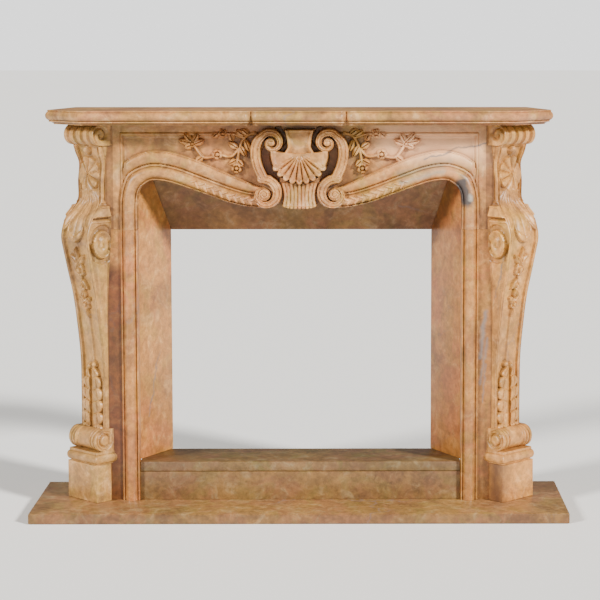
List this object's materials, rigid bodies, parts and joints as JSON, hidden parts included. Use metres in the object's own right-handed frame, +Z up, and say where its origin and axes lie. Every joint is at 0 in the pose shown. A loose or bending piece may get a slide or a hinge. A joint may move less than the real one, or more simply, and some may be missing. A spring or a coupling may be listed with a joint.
{
  "type": "fireplace mantel",
  "caption": "Carved stone fireplace mantel with canted scroll legs, arched frieze with a shell, moulded shelf, splayed lining and hearth slab.",
  "frame": {"origin": "middle of the hearth slab's underside, at floor level", "axes": "+X to the viewer's right along the mantel, +Y back to the wall, +Z up"},
  "size_m": [1.58, 0.42, 1.2],
  "materials": {
    "stone": "honed honey beige marble with pink and olive clouds and fine dark veins"
  },
  "bodies": {
    "root": {"hearth_slab": "stone", "riser": "stone", "sill_slab": "stone", "slip_left": "stone", "slip_right": "stone", "slip_top": "stone", "jamb_left": "stone", "jamb_right": "stone", "frieze": "stone", "plinth_left": "stone", "plinth_right": "stone", "leg_left": "stone", "leg_right": "stone", "side_return_left": "stone", "side_return_right": "stone", "mantel_shelf": "stone"}
  },
  "joints": []
}
